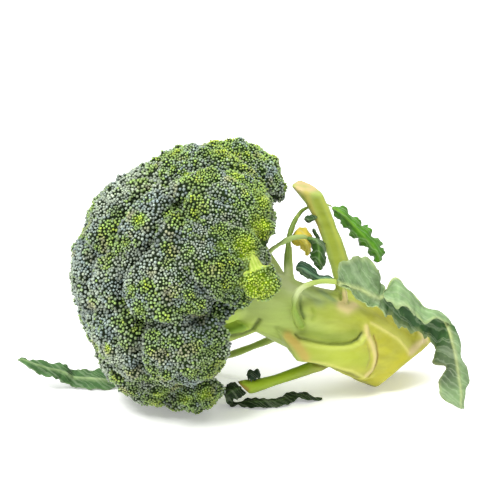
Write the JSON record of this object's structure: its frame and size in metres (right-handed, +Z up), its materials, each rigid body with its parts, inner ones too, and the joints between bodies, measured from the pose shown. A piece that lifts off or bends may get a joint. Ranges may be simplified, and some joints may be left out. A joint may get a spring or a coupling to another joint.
{
  "type": "broccoli head",
  "caption": "Cut head of broccoli lying on its side: a round crown of bud-covered florets on a thick branched stalk with cut leaf stalks and small wilted leaves.",
  "frame": {"origin": "on the surface that the head lies on, below the centre of its bounding box", "axes": "+X from the crown towards the cut foot of the stalk, +Z up, the picture's view looks along +Y"},
  "size_m": [0.2556, 0.1514, 0.151],
  "materials": {
    "buds": "closed flower buds, blue-green to yellow-green, matt with a waxy bloom",
    "stalk": "smooth pale yellow-green skin with a satin sheen, cut ends dry and tan",
    "leaf": "grey-green leaf with a waxy bloom and a pale rib",
    "yellowed_leaf": "wilted yellow leaf, matt"
  },
  "bodies": {
    "root": {"crown": "buds", "stalk": "stalk", "leaf_draped": "leaf", "leaf_back": "leaf", "leaf_small_arch": "leaf", "leaf_yellowed": "yellowed_leaf", "leaf_curled": "leaf", "leaf_floor_left": "leaf", "leaf_floor_front": "leaf"}
  },
  "joints": []
}
